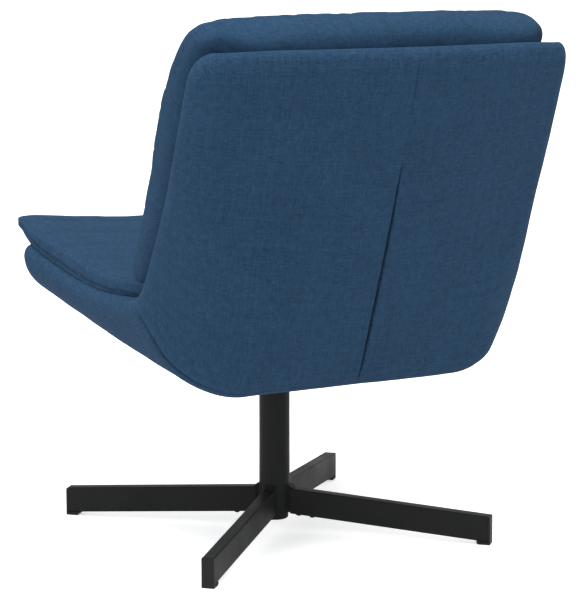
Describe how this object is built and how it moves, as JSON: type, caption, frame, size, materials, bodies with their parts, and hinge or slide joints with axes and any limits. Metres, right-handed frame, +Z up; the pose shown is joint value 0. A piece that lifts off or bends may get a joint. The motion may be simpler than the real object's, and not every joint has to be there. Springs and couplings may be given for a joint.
{
  "type": "swivel lounge chair",
  "caption": "Armless swivel lounge chair: an upholstered wrap-around shell with loose seat and back cushions turns on a post above a flat cross-shaped leg base.",
  "frame": {"origin": "on the floor, at the centre of the chair's footprint rectangle", "axes": "+Z up, -Y towards the front of the seat, +X towards the sitter's left"},
  "size_m": [0.636, 0.8328, 0.8545],
  "materials": {
    "black_powder_coat": "satin black powder coat on steel",
    "black_nylon": "moulded black nylon",
    "white_acetal": "natural acetal",
    "bearing_steel": "hardened ground steel",
    "zinc_steel": "bright zinc-plated steel",
    "blue_linen_weave": "blue linen-look weave over foam",
    "black_lining": "black non-woven lining",
    "plywood": "moulded beech plywood"
  },
  "bodies": {
    "base": {"base_hub": "black_powder_coat", "column_tube": "black_powder_coat", "leg_front_left": "black_powder_coat", "leg_rear_left": "black_powder_coat", "leg_rear_right": "black_powder_coat", "leg_front_right": "black_powder_coat", "end_cap_front_left": "black_nylon", "end_cap_rear_left": "black_nylon", "end_cap_rear_right": "black_nylon", "end_cap_front_right": "black_nylon", "leg_bolt_front_left_1": "black_powder_coat", "leg_bolt_front_left_2": "black_powder_coat", "leg_bolt_rear_left_1": "black_powder_coat", "leg_bolt_rear_left_2": "black_powder_coat", "leg_bolt_rear_right_1": "black_powder_coat", "leg_bolt_rear_right_2": "black_powder_coat", "leg_bolt_front_right_1": "black_powder_coat", "leg_bolt_front_right_2": "black_powder_coat", "lower_bush": "white_acetal", "upper_bush": "white_acetal", "lower_race": "bearing_steel"},
    "cage": {"ball_cage": "black_nylon", "ball_1": "bearing_steel", "ball_2": "bearing_steel", "ball_3": "bearing_steel", "ball_4": "bearing_steel", "ball_5": "bearing_steel", "ball_6": "bearing_steel", "ball_7": "bearing_steel", "ball_8": "bearing_steel"},
    "seat": {"upper_race": "bearing_steel", "spindle": "zinc_steel", "retaining_clip": "zinc_steel", "bearing_cover": "black_nylon", "seat_plate": "black_powder_coat", "plate_bolt_front_left": "zinc_steel", "plate_bolt_front_right": "zinc_steel", "plate_bolt_rear_left": "zinc_steel", "plate_bolt_rear_right": "zinc_steel", "tee_nut_front_left": "zinc_steel", "tee_nut_front_right": "zinc_steel", "tee_nut_rear_left": "zinc_steel", "tee_nut_rear_right": "zinc_steel", "outer_upholstery": "blue_linen_weave", "seam_strip": "black_lining", "shell_frame": "plywood", "inner_upholstery": "blue_linen_weave", "dust_cover": "black_lining", "seat_cushion": "blue_linen_weave", "back_cushion": "blue_linen_weave"}
  },
  "joints": [
    {"name": "swivel", "type": "hinge", "parent": "base", "child": "seat", "pos_m": [0, -0.021, 0.3], "axis": [0, 0, 1], "continuous": true},
    {"name": "cage_turn", "type": "hinge", "parent": "base", "child": "cage", "pos_m": [0, -0.021, 0.3], "axis": [0, 0, 1], "continuous": true}
  ],
  "couplings": [
    {"joint": "cage_turn", "follows": "swivel", "ratio": 0.5}
  ]
}
